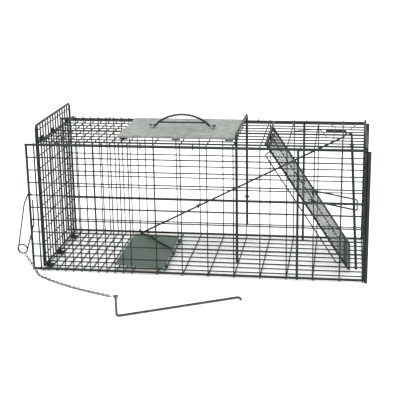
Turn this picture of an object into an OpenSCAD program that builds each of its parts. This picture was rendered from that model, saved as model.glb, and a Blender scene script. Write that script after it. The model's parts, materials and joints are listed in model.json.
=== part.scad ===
// Live catch trap: a welded-mesh cage with a drop door at the entrance (+X), a lift-out
// door at the bait end (-X), a treadle, its trigger rod, and a chained lock pin.
// The cage stands on z = 0, and the entrance end faces +X.

/* [Cage] */
// Length of a side panel, between the centres of its end wires
cage_l = 651.2; // [540:0.1:800]
// Width of the cage, between the centres of the side rails
cage_w = 249; // [207:0.1:300]
// Height of a side panel, between the centres of its rails
cage_h = 254; // [212:0.1:310]
// Diameter of the rails and end wires
rail_d = 4.8; // [4:0.1:5.7]
// Diameter of the lengthwise mesh wire
long_d = 2.6; // [2.2:0.1:3]
// Diameter of the cross mesh wire
cross_d = 2.2; // [1.9:0.1:2.6]
// Height of one mesh row
row_pitch = 25.4; // [21:0.1:30.5]
// Length of one wide mesh cell
cell_pitch = 50.8; // [42:0.1:61]
// Length of the close-mesh stretch at the bait end
close_l = 200; // [170:0.1:240]
// Distance from the front end wires to the first mesh wire
front_cell = 44.8; // [38:0.1:53]
// Diameter of the entrance posts
post_d = 6.4; // [5.4:0.1:7.6]
// Diameter of the uprights inside the side panels
upright_d = 4.8; // [4:0.1:5.7]
// Distance of the uprights in from the front end wires
upright_in = 125.8; // [105:0.1:126]

/* [Rear door] */
// Height that the rear door stands above the cage rails
rear_door_rise = 36; // [30:0.5:45]
// Diameter of the rear door's rim rod
rim_d = 4.8; // [4:0.1:5.6]
// Diameter of the rear door's upright wires
rear_wire_d = 3; // [2.5:0.1:3.6]
// Bend radius at the rear door's top corners
rim_bend = 10; // [8:0.5:14]

/* [Trap door] */
// Width of the trap door, over the centres of its side rods
door_w = 158; // [132:0.5:162]
// Distance of the trap door's foot in from the front end wires
door_foot_in = 26; // [22:0.5:31]
// Diameter of the trap door's rim rod
door_rim_d = 4.4; // [3.6:0.1:5.2]
// Thickness of the trap door's sheet
door_sheet_t = 1.2; // [1:0.1:1.6]
// Distance of the trap door's inner side wires from its rim
door_back = 13; // [10:0.5:15.5]

/* [Lock bail and lock rod] */
// Width of the lock bail, over the centres of its legs
bail_w = 74; // [62:0.5:89]
// Length of the lock bail's legs
bail_l = 90; // [75:0.5:94]
// Distance down the trap door to the lock bail's hinge
bail_down = 149; // [135:0.5:160]
// Diameter of the lock bail's wire
bail_d = 3.4; // [2.8:0.1:4]
// Diameter of the lock rod
lock_rod_d = 5.2; // [4.4:0.1:6.2]
// Lean of the hanging lock rod, in degrees
lock_rod_lean = 3.3; // [2:0.1:4]

/* [Stop hoop] */
// Width of the stop hoop, over the centres of its legs
hoop_w = 193; // [186:0.5:196]
// Height of the stop hoop's bar above the cage rails
hoop_rise = 20.5; // [17:0.5:25]
// Height of the hoop's near foot above the floor wires
hoop_foot = 18; // [15:0.5:22]
// Diameter of the stop hoop's rod
hoop_d = 5.2; // [4.4:0.1:5.6]

/* [Guard plate and handle] */
// Length of the guard plate
guard_l = 231; // [192:0.5:232]
// Width of the guard plate
guard_w = 170; // [142:0.5:180]
// Height of the guard plate above the cage rails
guard_rise = 11.5; // [10:0.5:14]
// Thickness of the guard plate
guard_t = 0.9; // [0.8:0.1:1.2]
// Distance from the rear end wires to the guard plate
guard_in = 172; // [150:0.5:173]
// Distance from the rear end wires to the middle of the handle
handle_in = 287; // [275:0.5:300]
// Distance between the handle's feet
handle_l = 124; // [104:0.5:148]
// Height of the handle's bow above its pivot
handle_h = 22; // [19:0.5:26]
// Diameter of the handle wire
handle_d = 4.4; // [3.8:0.1:5]

/* [Treadle and trigger] */
// Length of the treadle plate
treadle_l = 103; // [86:0.5:124]
// Width of the treadle plate
treadle_w = 198; // [165:0.5:199]
// Thickness of the treadle plate
treadle_t = 1.2; // [1:0.1:1.5]
// Distance from the rear end wires to the treadle's pivot
treadle_in = 265; // [250:0.5:270]
// Diameter of the trigger rod
trigger_d = 3.8; // [3.2:0.1:4.2]
// Distance of the trigger rod from the middle of the cage
trigger_y = 86.5; // [84:0.5:89]

/* [Safety clip and lock pin] */
// Diameter of the safety clip's wire
clip_d = 3; // [2.5:0.1:3.6]
// Height of the safety clip's hook
clip_top = 160; // [135:0.5:190]
// Radius of the safety clip's coil, to the middle of the wire
coil_r = 9.6; // [8:0.1:11.5]
// Diameter of the lock pin
pin_d = 4.2; // [3.5:0.1:5]
// Length of the lock pin's long leg
pin_l = 235; // [196:0.5:282]
// Length of the lock pin's short leg
pin_short = 88; // [73:0.5:105]
// Diameter of the chain over its links
chain_d = 5.4; // [4.5:0.1:5.5]

/* [Fits] */
// Gap between wires that are welded where they cross
weld_gap = 0.03; // [0.02:0.01:0.05]
// Gap between a moving piece and what it passes
free_gap = 0.6; // [0.5:0.1:0.8]
// Radial clearance of a wire loop on its pivot rod
loop_gap = 0.35; // [0.3:0.05:0.4]

/* [Hidden] */

$fn = 32;
green = "#2f4a3c";
deep_green = "#20332a";
zinc = "#b4b8b2";
steel = "#5d5f60";

// Places along X. The clip reaches behind the rear end wires and the posts stand in
// front of the front ones, and the two together are centred on x = 0.
coil_back = 22;
clip_reach = coil_back + coil_r + clip_d / 2;
post_x_off = (rail_d + post_d) / 2 + weld_gap;
front_reach = post_x_off + post_d / 2;
rear_x = (clip_reach - cage_l - front_reach) / 2;
front_x = rear_x + cage_l;
side_y = cage_w / 2;

// Heights. The floor's cross wires touch the ground and carry the rails.
floor_cross_z = cross_d / 2;
rail_z = cross_d + weld_gap + rail_d / 2;
top_z = rail_z + cage_h;
floor_long_z = cross_d + weld_gap + long_d / 2;
floor_top = floor_long_z + long_d / 2;
top_cross_z = top_z + rail_d / 2 + weld_gap + cross_d / 2;
top_long_z = top_cross_z - cross_d / 2 - weld_gap - long_d / 2;
over_top = top_cross_z + cross_d / 2;
edge_rod_z = top_cross_z + (rail_d - cross_d) / 2;

// Mesh wire places
close_pitch = cell_pitch / 3;
wide_n = round((cage_l - front_cell - close_l) / cell_pitch);
wide_x0 = front_x - front_cell - wide_n * cell_pitch;
close_n = floor((wide_x0 - rear_x - cross_d - rail_d) / close_pitch);
row_n = round(cage_h / row_pitch) - 1;
row_step = cage_h / (row_n + 1);
lane_n = floor((side_y - 12) / row_pitch);
function mesh_x(from = rear_x) = concat(
    [for (i = [close_n:-1:1]) if (wide_x0 - i * close_pitch > from) wide_x0 - i * close_pitch],
    [for (i = [0:wide_n]) wide_x0 + i * cell_pitch]);

// Side panel layers, outwards from the inside of the rails
side_long_y = side_y - (rail_d - long_d) / 2;
side_up_y = side_long_y - (long_d + cross_d) / 2 - weld_gap;
side_inside = side_up_y - cross_d / 2;

// Rear door, in front of guides that are welded to the first mesh wires
guide_d = 2.4;
guide_x = wide_x0 - close_n * close_pitch;
rear_door_x = guide_x + guide_d / 2 + free_gap + rim_d / 2 + 1.5;
rear_door_y = side_inside - free_gap - rim_d / 2;
rear_door_z0 = floor_top + free_gap + rim_d / 2;
rear_door_z1 = top_z + rear_door_rise;
panel_rear_x = rear_door_x + rim_d / 2 + free_gap + rail_d / 2 + 1;

// Trap door, in its own plane: u runs down the door and v stands off its outer face.
// It turns on its own top rod, in loops under a rod that lies across the top panel.
hinge_rod_d = 4;
hinge_loop_d = 2.8;
hinge_loop_out = door_rim_d / 2 + loop_gap + hinge_loop_d;
door_wire_x = wide_x0 + (wide_n - 3) * cell_pitch;
hinge_x = door_wire_x + 9;
hinge_rod_z = top_long_z + (long_d + hinge_rod_d) / 2 + weld_gap;
hinge_z = hinge_rod_z - hinge_rod_d / 2 - weld_gap - hinge_loop_out;
door_foot_x = front_x - door_foot_in;
door_foot_z = floor_top + free_gap + door_rim_d / 2;
door_slope = atan2(hinge_z - door_foot_z, door_foot_x - hinge_x);
door_len = norm([hinge_z - door_foot_z, door_foot_x - hinge_x]);
door_half = door_w / 2;
sheet_u0 = hinge_loop_out + free_gap;
sheet_u1 = door_len - door_rim_d / 2 - 6;
bail_off = door_rim_d / 2 + bail_d / 2 + 2.4;
bail_x = hinge_x + bail_down * cos(door_slope) + bail_off * sin(door_slope);
bail_z = hinge_z - bail_down * sin(door_slope) + bail_off * cos(door_slope);
bail_slope = 10.8;

// Stop hoop and lock rod
hoop_x = door_wire_x - cell_pitch + (cross_d + hoop_d) / 2 + weld_gap;
hoop_top_z = top_z + hoop_rise;
hoop_y = hoop_w / 2;
hoop_bend = 7;
lock_pivot_d = 3;
lock_x = front_x - 27;
lock_y = -lane_n * row_pitch + 6.6;
lock_pivot_z = top_long_z + long_d / 2 + weld_gap + lock_pivot_d / 2;
lock_foot_z = floor_top + 11;
lock_head = 21;

// Guard plate and handle
guard_x0 = rear_x + guard_in;
guard_x1 = guard_x0 + guard_l;
guard_z = top_z + guard_rise;
lug_wall = 1.2;
pivot_z = guard_z + guard_t + handle_d / 2 + lug_wall + loop_gap;
handle_x = rear_x + handle_in;

// Treadle: its pivot rod lies on the floor wires at the plate's front edge
treadle_pivot_d = 3;
treadle_x = rear_x + treadle_in;
treadle_pivot_z = floor_top + treadle_pivot_d / 2 + free_gap;
treadle_z = treadle_pivot_z + treadle_pivot_d / 2 + 0.9;
treadle_y = -15.5;
treadle_tilt = 2.5;

// Trigger rod, from the treadle's arm to the hook under the top panel
trigger_a = [treadle_x - 87, trigger_y, floor_top + 11];
trigger_b = [front_x - 44, trigger_y, top_z - 22];
trigger_slope = atan2(trigger_b[2] - trigger_a[2], trigger_b[0] - trigger_a[0]);
trigger_eye_x = wide_x0 + 2 * cell_pitch;
trigger_eye_z = trigger_a[2] + (trigger_eye_x - trigger_a[0]) * tan(trigger_slope);

// A bend's ball stands this many times the wire's diameter
ball = 1.1;

// Safety clip, hung on the near rear end wire, and the lock pin on the ground
clip_y = -side_y + rail_d / 2 + clip_d / 2 + 0.4;
clip_x = rear_x;
coil_x = rear_x - coil_back;
coil_z = 44;
pin_eye = [rear_x + 198, -side_y - 128.5];
pin_turn = -75.6;
pin_bend = 14;
pin_eye_r = 4.2;

// Points down the middle of the chain, from the clip's coil to the pin's eye
chain_route = [
    [-328.5, -123.5, 30.5], [-323, -127, 25], [-315.5, -132, 18], [-308.5, -138, 11.5],
    [-302, -145, 6.2], [-296, -153, 3.4], [-287, -163, 2.8], [-275, -172, 2.8],
    [-262, -181, 2.8], [-249, -190, 2.8], [-236, -198, 2.8], [-222, -206, 2.8],
    [-208, -214, 2.8], [-193, -221, 2.8], [-178, -228, 2.8], [-163, -235, 2.8],
    [-148, -241, 2.8], [-136, -246, 2.8], [-126, -250, 2.8]
];

// A straight rod between two points
module rod(from, to, d) {
    way = to - from;
    turn = [0, acos(way[2] / norm(way)), atan2(way[1], way[0])];
    translate(from) rotate(turn) cylinder(h = norm(way), d = d);
}

// A wire through several points, with a ball at each bend
module wire(points, d) {
    for (i = [1:len(points) - 1]) rod(points[i - 1], points[i], d);
    for (i = [1:1:len(points) - 2]) translate(points[i]) sphere(d = d * ball);
}

// A ring of wire about the Y axis
module ring_y(at, r, d) {
    translate(at) rotate([90, 0, 0]) rotate_extrude() translate([r, 0]) circle(d = d);
}

// A ring of wire about the X axis
module ring_x(at, r, d) {
    translate(at) rotate([0, 90, 0]) rotate_extrude() translate([r, 0]) circle(d = d);
}

// The frame of the trap door: x runs down the door, z stands off its outer face
module on_door() {
    translate([hinge_x, 0, hinge_z]) rotate([0, door_slope, 0]) children();
}

// One side panel: rails, end wires and mesh, on the +Y side
module side_panel() {
    mesh_x0 = rear_x + rail_d / 2 + weld_gap;
    mesh_x1 = front_x - rail_d / 2 - weld_gap;
    for (z = [rail_z, top_z]) rod([rear_x - rail_d / 2, side_y, z], [front_x + rail_d / 2, side_y, z], rail_d);
    for (x = [rear_x, front_x]) {
        rod([x, side_y, rail_z + rail_d / 2 + weld_gap], [x, side_y, top_z - rail_d / 2 - weld_gap], rail_d);
    }
    for (i = [1:row_n]) {
        z = rail_z + i * row_step;
        rod([mesh_x0, side_long_y, z], [mesh_x1, side_long_y, z], long_d);
    }
    for (x = mesh_x()) {
        if (x < mesh_x1 - cross_d) {
            z0 = floor_top + weld_gap;
            rod([x, side_up_y, z0], [x, side_up_y, top_long_z - long_d / 2 - weld_gap], cross_d);
        }
    }
}

module near_side_panel() {
    color(green) mirror([0, 1, 0]) side_panel();
}

module far_side_panel() {
    color(green) side_panel();
}

// Top panel: cross wires over the rails, and lengthwise wires under them
module top_panel() {
    x0 = panel_rear_x + rail_d / 2 + weld_gap;
    x1 = front_x + rail_d / 2;
    color(green) {
        for (x = mesh_x(panel_rear_x + rail_d)) {
            rod([x, -side_y - 0.8, top_cross_z], [x, side_y + 0.8, top_cross_z], cross_d);
        }
        rod([panel_rear_x, -side_y, edge_rod_z], [panel_rear_x, side_y, edge_rod_z], rail_d);
        rod([front_x, -side_y, edge_rod_z], [front_x, side_y, edge_rod_z], rail_d);
        for (i = [-lane_n:lane_n]) {
            rod([x0, i * row_pitch, top_long_z], [x1, i * row_pitch, top_long_z], long_d);
        }
        for (s = [-1, 1]) {
            y = s * (side_y - rail_d / 2 - long_d / 2);
            rod([x0, y, top_long_z], [x1, y, top_long_z], long_d);
        }
    }
}

// Floor panel: cross wires under the rails, lengthwise wires over them
module floor_panel() {
    x0 = rear_door_x - rail_d / 2;
    x1 = front_x + rail_d / 2;
    color(green) {
        for (x = mesh_x(rear_door_x + rail_d)) {
            rod([x, -side_y - 0.8, floor_cross_z], [x, side_y + 0.8, floor_cross_z], cross_d);
        }
        for (x = [rear_door_x, front_x]) {
            rod([x, -side_y - 0.8, floor_cross_z], [x, side_y + 0.8, floor_cross_z], cross_d);
        }
        for (i = [-lane_n:lane_n]) {
            rod([x0, i * row_pitch, floor_long_z], [x1, i * row_pitch, floor_long_z], long_d);
        }
    }
}

// A post that stiffens each side of the entrance
module front_post(side) {
    x = front_x + post_x_off;
    rod([x, side * side_y, 0], [x, side * side_y, top_z - 1.5], post_d);
}

module near_front_post() {
    color(deep_green) front_post(-1);
}

module far_front_post() {
    color(deep_green) front_post(1);
}

// Uprights welded inside the side panels' lengthwise wires, beside the trap door
module side_uprights() {
    x = front_x - upright_in;
    y = side_long_y - (long_d + upright_d) / 2 - weld_gap;
    color(deep_green) for (s = [-1, 1]) {
        rod([x, s * y, 0], [x, s * y, top_long_z - long_d / 2 - weld_gap], upright_d);
    }
}

// C-rings that tie the top and floor panels to a side panel's rails
module rings(side) {
    ring_d = 1.6;
    ring_r = (rail_d + long_d) / 2 + ring_d / 2 + 0.35;
    for (i = [0:2:wide_n - 1]) {
        x = wide_x0 + (i + 0.5) * cell_pitch;
        ring_x([x, side * (side_y - long_d / 2), top_z + 0.6], ring_r, ring_d);
    }
    ring_x([wide_x0 - 5.5 * close_pitch, side * (side_y - long_d / 2), top_z + 0.6], ring_r, ring_d);
}

module near_rings() {
    color(deep_green) rings(-1);
}

module far_rings() {
    color(deep_green) rings(1);
}

// Upright rods that the rear door slides between
module rear_door_guides() {
    y = side_inside - guide_d / 2 - weld_gap;
    color(green) for (s = [-1, 1]) {
        rod([guide_x, s * y, 0], [guide_x, s * y, top_z + rail_d / 2], guide_d);
    }
}

// Sheet clips along the rear edge of a mesh panel, each with a rolled front lip
module edge_clips(x, z) {
    clip_w = 22;
    clip_l = 12;
    clip_t = 1;
    lip = 6;
    for (lane = [-4, -1, 3]) {
        y = lane * row_pitch - 4;
        translate([x, y - clip_w / 2, z]) cube([clip_l, clip_w, clip_t]);
        translate([x, y - clip_w / 2, z + clip_t / 2]) cube([clip_t, clip_w, lip]);
    }
}

module rear_floor_clips() {
    color(deep_green) edge_clips(rear_door_x + rim_d / 2 + free_gap + 1.5, floor_top + weld_gap);
}

module rear_top_clips() {
    z = edge_rod_z + rail_d / 2 + weld_gap;
    color(deep_green) edge_clips(panel_rear_x - 1, z);
}

// Sheet-metal guard plate under the handle, with flanges turned down along its sides
module guard_plate() {
    flange = 4;
    w = guard_w / 2;
    color(zinc) {
        translate([guard_x0, -w, guard_z]) cube([guard_l, guard_w, guard_t]);
        for (s = [-1, 1]) {
            translate([guard_x0, s * w - guard_t / 2 - s * guard_t / 2, guard_z - flange]) {
                cube([guard_l, guard_t, flange + guard_t / 2]);
            }
        }
    }
}

// Tabs that carry the guard plate and clamp it to the top panel's wires
module guard_tabs() {
    tab_w = 16;
    w = guard_w / 2 - guard_t;
    z0 = over_top + weld_gap;
    h = guard_z - z0 - weld_gap;
    color(deep_green) {
        for (s = [-1, 1], x = [guard_x0 + 4, (guard_x0 + guard_x1 - tab_w) / 2, guard_x1 - 4 - tab_w]) {
            translate([x, s * (w - 0.6) - 0.5, z0]) cube([tab_w, 1, h]);
        }
    }
}

// Lugs punched up out of the guard plate, round the handle's ends
module handle_lugs() {
    lug_l = 6;
    r_in = handle_d / 2 + loop_gap;
    color(zinc) for (s = [-1, 1]) {
        x = handle_x + s * (handle_l / 2 - 1.5);
        difference() {
            union() {
                translate([x - lug_l / 2, 0, pivot_z]) rotate([0, 90, 0]) cylinder(h = lug_l, r = r_in + lug_wall);
                translate([x - lug_l / 2, -r_in - lug_wall, guard_z + guard_t + weld_gap]) {
                    cube([lug_l, 2 * (r_in + lug_wall), pivot_z - guard_z - guard_t - weld_gap]);
                }
            }
            translate([x - lug_l, 0, pivot_z]) rotate([0, 90, 0]) cylinder(h = 2 * lug_l, r = r_in);
        }
    }
}

// Wire bow handle with a straight bar across it
module carry_handle() {
    half = handle_l / 2;
    sag = handle_h - 6;
    chord_half = half - 13;
    bow_r = (chord_half * chord_half + sag * sag) / (2 * sag);
    bow_a = asin(chord_half / bow_r);
    chord_z = handle_h - sag;
    color(steel) translate([handle_x, 0, pivot_z]) {
        translate([0, 0, handle_h - bow_r]) rotate([90, 0, 0]) rotate([0, 0, 90 - bow_a]) {
            rotate_extrude(angle = 2 * bow_a, $fn = 96) translate([bow_r, 0]) circle(d = handle_d, $fn = 24);
        }
        for (s = [-1, 1]) {
            wire([[s * chord_half, 0, chord_z], [s * (half - 8), 0, 0], [s * (half + 5), 0, 0]], handle_d);
            translate([s * chord_half, 0, chord_z]) sphere(d = handle_d * ball);
        }
        rod([6.8 - chord_half, 0, chord_z], [chord_half - 6.8, 0, chord_z], handle_d * 0.75);
    }
}

// Rim of the rear door: a rod bent round at its two top corners
module rear_door_rim() {
    y = rear_door_y;
    b = rim_bend;
    color(deep_green) translate([rear_door_x, 0, 0]) {
        for (s = [-1, 1]) {
            rod([0, s * y, rear_door_z0], [0, s * y, rear_door_z1 - b], rim_d);
            translate([0, s * (y - b), rear_door_z1 - b]) rotate([0, -90, 0]) rotate([0, 0, s * 45 - 45]) {
                rotate_extrude(angle = 90) translate([b, 0]) circle(d = rim_d, $fn = 24);
            }
            translate([0, s * y, rear_door_z0]) sphere(d = rim_d * 1.02);
        }
        rod([0, -y + b, rear_door_z1], [0, y - b, rear_door_z1], rim_d);
        rod([0, -y, rear_door_z0], [0, y, rear_door_z0], rim_d);
    }
}

// Close mesh welded inside the rear door's rim
module rear_door_mesh() {
    y = rear_door_y - rim_d / 2 - weld_gap;
    up_n = floor(rear_door_y / close_pitch);
    z0 = rear_door_z0 + rim_d / 2 + weld_gap;
    z1 = rear_door_z1 - rim_d / 2 - weld_gap;
    x1 = rear_door_x - (rear_wire_d + weld_gap) / 2;
    x2 = rear_door_x + (cross_d + weld_gap) / 2;
    color(green) {
        for (i = [-up_n:up_n]) {
            if (abs(i * close_pitch) < y - rim_bend / 2) {
                rod([x1, i * close_pitch, z0], [x1, i * close_pitch, z1], rear_wire_d);
            }
        }
        for (z = [rail_z + row_step:row_step:rear_door_z1 - row_step / 3]) rod([x2, -y, z], [x2, y, z], cross_d);
    }
}

// Hoop that stands through the top panel behind the trap door
module stop_hoop() {
    feet = [rail_z + hoop_foot, rail_z + hoop_foot + 15];
    b = hoop_bend;
    color(deep_green) translate([hoop_x, 0, 0]) {
        for (s = [-1, 1]) {
            rod([0, s * hoop_y, feet[(s + 1) / 2]], [0, s * hoop_y, hoop_top_z - b], hoop_d);
            translate([0, s * (hoop_y - b), hoop_top_z - b]) rotate([0, -90, 0]) rotate([0, 0, s * 45 - 45]) {
                rotate_extrude(angle = 90) translate([b, 0]) circle(d = hoop_d, $fn = 24);
            }
        }
        rod([0, -hoop_y + b, hoop_top_z], [0, hoop_y - b, hoop_top_z], hoop_d);
    }
}

// Wire eyes that hold the stop hoop's legs
module hoop_eyes() {
    eye_d = 2.4;
    r = (hoop_d + eye_d) / 2 + weld_gap;
    color(deep_green) {
        for (p = [[-hoop_y, hoop_top_z - 9], [hoop_y, top_z * 0.39], [-hoop_y, top_z + 1.2 - 8]]) {
            translate([hoop_x, p[0], p[1]]) rotate_extrude() translate([r, 0]) circle(d = eye_d);
        }
    }
}

// Rod across the top panel that carries the trap door's loops
module door_hinge_rod() {
    y = door_half + 24;
    color(deep_green) rod([hinge_x, -y, hinge_rod_z], [hinge_x, y, hinge_rod_z], hinge_rod_d);
}

// Loops of wire under the hinge rod, round the trap door's top rod, between the wires
module door_hinge_loops() {
    r = hinge_loop_out - hinge_loop_d / 2;
    color(deep_green) for (lane = [-2.5, -0.5, 0.5, 2.5]) {
        ring_y([hinge_x, lane * row_pitch, hinge_z], r, hinge_loop_d);
    }
}

// Rim rod of the trap door
module door_rim() {
    h = door_half;
    b = 8;
    u1 = door_len;
    color(deep_green) on_door() {
        for (s = [-1, 1]) {
            rod([0, s * h, 0], [u1 - b, s * h, 0], door_rim_d);
            translate([u1 - b, s * (h - b), 0]) rotate([0, 0, s * 45 - 45]) {
                rotate_extrude(angle = 90) translate([b, 0]) circle(d = door_rim_d, $fn = 24);
            }
            translate([0, s * h, 0]) sphere(d = door_rim_d * 1.02);
        }
        rod([0, -h, 0], [0, h, 0], door_rim_d);
        rod([u1, -h + b, 0], [u1, h - b, 0], door_rim_d);
    }
}

// Sheet of the trap door inside its rim
module door_sheet() {
    h = door_half - door_rim_d / 2 - weld_gap;
    color(green) on_door() translate([sheet_u0, -h, -door_sheet_t / 2]) {
        cube([sheet_u1 - sheet_u0, 2 * h, door_sheet_t]);
    }
}

// Wires that stand off the trap door's inner face along its two sides
module door_side_wires() {
    side_wire_d = 2.6;
    u0 = 14;
    u1 = door_len - 24;
    v = -door_rim_d / 2 - weld_gap;
    color(deep_green) on_door() for (s = [-1, 1]) {
        y = s * door_half;
        wire([[u0, y, v], [u0, y, -door_back], [u1, y, -door_back], [u1, y, v]], side_wire_d);
    }
}

// Flat bar across the foot of the trap door, on its outer face
module door_foot_bar() {
    h = door_half - door_rim_d / 2 - 1;
    bar_l = 13;
    bar_t = 2.4;
    color(deep_green) on_door() translate([sheet_u1 - bar_l - 1, -h, door_sheet_t / 2 + weld_gap]) {
        cube([bar_l, 2 * h, bar_t]);
    }
}

// Lugs on the trap door's outer face that the lock bail turns in
module bail_lugs() {
    lug_l = 5;
    r_in = bail_d / 2 + loop_gap;
    wall = 1;
    foot_z = door_sheet_t / 2 + weld_gap;
    color(deep_green) on_door() for (s = [-1, 1]) {
        y = s * (bail_w / 2 - 5.5);
        difference() {
            union() {
                translate([bail_down, y + lug_l / 2, bail_off]) rotate([90, 0, 0]) cylinder(h = lug_l, r = r_in + wall);
                translate([bail_down - r_in - wall, y - lug_l / 2, foot_z]) {
                    cube([2 * (r_in + wall), lug_l, bail_off - foot_z]);
                }
            }
            translate([bail_down, y + lug_l, bail_off]) rotate([90, 0, 0]) cylinder(h = 2 * lug_l, r = r_in);
        }
    }
}

// U-shaped wire bail that props the shut trap door
module lock_bail() {
    h = bail_w / 2;
    b = 8;
    color(steel) translate([bail_x, 0, bail_z]) rotate([0, bail_slope, 0]) {
        for (s = [-1, 1]) {
            rod([0, s * h, 0], [bail_l - b, s * h, 0], bail_d);
            translate([0, s * h, 0]) sphere(d = bail_d * 1.03);
            rod([0, s * h, 0], [0, s * (h - 9), 0], bail_d);
            translate([bail_l - b, s * (h - b), 0]) rotate([0, 0, s * 45 - 45]) {
                rotate_extrude(angle = 90) translate([b, 0]) circle(d = bail_d, $fn = 24);
            }
        }
        rod([bail_l, -h + b, 0], [bail_l, h - b, 0], bail_d);
    }
}

// Rod that hangs by an eye inside the entrance, beside the trap door
module lock_rod() {
    r = lock_pivot_d / 2 + loop_gap + 1.1;
    down = (lock_pivot_z - lock_foot_z) / cos(lock_rod_lean);
    color(deep_green) translate([lock_x, lock_y, lock_pivot_z]) rotate([0, -lock_rod_lean, 0]) {
        ring_y([0, 0, 0], r, 2.2);
        rod([0, 0, -r - 1.1 - weld_gap], [0, 0, -down], lock_rod_d);
        wire([[0, 0, r + 1.1 + weld_gap], [0, 0, lock_head], [-5, 3, lock_head + 2]], lock_rod_d * 0.8);
    }
}

// Short rod across two of the top panel's wires that the lock rod's eye turns on
module lock_rod_pivot() {
    y0 = -lane_n * row_pitch - long_d;
    y1 = (1 - lane_n) * row_pitch + long_d;
    color(deep_green) rod([lock_x, y0, lock_pivot_z], [lock_x, y1, lock_pivot_z], lock_pivot_d);
}

// The frame of the treadle: its rear edge is raised about the pivot rod
module on_treadle() {
    translate([treadle_x, 0, treadle_pivot_z]) rotate([0, treadle_tilt, 0]) children();
}

// Treadle plate
module treadle_plate() {
    color(deep_green) on_treadle() translate([-treadle_l, treadle_y - treadle_w / 2, treadle_z - treadle_pivot_z]) {
        cube([treadle_l - 3, treadle_w, treadle_t]);
    }
}

// Rod under the treadle's front edge
module treadle_pivot_rod() {
    y = side_inside - 2;
    color(deep_green) rod([treadle_x, -y, treadle_pivot_z], [treadle_x, y, treadle_pivot_z], treadle_pivot_d);
}

// Loops under the treadle plate that turn on its pivot rod, between the floor's wires
module treadle_loops() {
    loop_d = 2;
    r = treadle_pivot_d / 2 + loop_gap + loop_d / 2;
    z = treadle_z - treadle_pivot_z - loop_d * 0.4 - weld_gap;
    color(deep_green) on_treadle() for (lane = [-3.5, -0.5, 2.5]) {
        y = lane * row_pitch;
        ring_y([0, y, 0], r, loop_d);
        rod([-sqrt(r * r - z * z) - loop_d, y, z], [-18, y, z], loop_d * 0.8);
    }
}

// Bent wire on the treadle plate that carries the trigger rod's lower end
module treadle_arm() {
    arm_d = 3;
    z = treadle_z - treadle_pivot_z + treadle_t + arm_d / 2 * ball + weld_gap;
    color(deep_green) on_treadle() {
        wire([[-88, trigger_y - 6, z], [-66, trigger_y - 16, z], [-42, 36, z], [-8, 0, z]], arm_d);
    }
}

// Trigger rod with a turned-up foot beside the treadle and a hook at its upper end
module trigger_rod() {
    knee = trigger_b + [9, 0, 12];
    tip = trigger_b + [-36, 0, 12.5];
    color(deep_green) wire([trigger_a + [-7, 0, 6], trigger_a, trigger_b, knee, tip], trigger_d);
}

// Eye on the far side panel that the trigger rod turns in
module trigger_guide() {
    eye_d = 2.2;
    r = trigger_d / 2 + 0.7 + eye_d / 2;
    x = trigger_eye_x;
    z = trigger_eye_z;
    color(deep_green) {
        translate([x, trigger_y, z]) rotate([0, 90 - trigger_slope, 0]) {
            rotate_extrude() translate([r, 0]) circle(d = eye_d);
        }
        rod([x, trigger_y + r + eye_d / 2 + weld_gap, z], [x, side_inside - weld_gap, z], eye_d);
    }
}

// Thin bent wires that lie on the top panel over the trap door
module catch_wires() {
    d = 1.8;
    runs = [
        [[-145, -14], [-144, 8], [-104, 28], [-88, 21], [-76, -36]],
        [[-73, 85], [-61, 50], [-62, -60]],
        [[-31, 31], [-17, 89]]
    ];
    color(deep_green) translate([front_x, 0, over_top + weld_gap + d / 2 * ball]) {
        for (run = runs) wire([for (p = run) [p[0], p[1], 0]], d);
    }
}

// Spring clip: a coil below and two legs up to a hook round the rear end wire
module safety_clip() {
    d = clip_d;
    r = coil_r;
    up = clip_top - coil_z;
    color(steel) translate([coil_x, clip_y, coil_z]) {
        rotate([90, 0, 0]) rotate([0, 0, 180]) rotate_extrude(angle = 180) translate([r, 0]) circle(d = d);
        ring_y([0, -d - 0.03, 0], r, d);
        for (s = [-1, 1]) translate([s * r, 0, 0]) sphere(d = d * ball);
        wire([[-r, 0, 0], [coil_back - 13, 0, up - 22], [coil_back - 3, 0, up], [coil_back + 5, 0, up - 4]], d);
        wire([[r, 0, 0], [coil_back + 4, 0, up * 0.45], [coil_back + 4.5, 0, up - 14]], d);
    }
}

// L-shaped lock pin on the ground, with an eye at its chained end
module lock_pin() {
    eye_t = 2.4;
    color(steel) translate([pin_eye[0], pin_eye[1], pin_d / 2 * ball]) rotate([0, 0, pin_turn]) {
        translate([-pin_eye_r - eye_t / 2 - weld_gap, 0, 0]) difference() {
            cylinder(h = eye_t, r = pin_eye_r + eye_t / 2, center = true);
            cylinder(h = 2 * eye_t, r = pin_eye_r - eye_t / 2, center = true);
        }
        x = pin_short - pin_l * sin(pin_bend);
        y = pin_l * cos(pin_bend);
        wire([[0, 0, 0], [pin_short, 0, 0], [x, y, 0], [x + 13, y, 0]], pin_d);
    }
}

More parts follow.
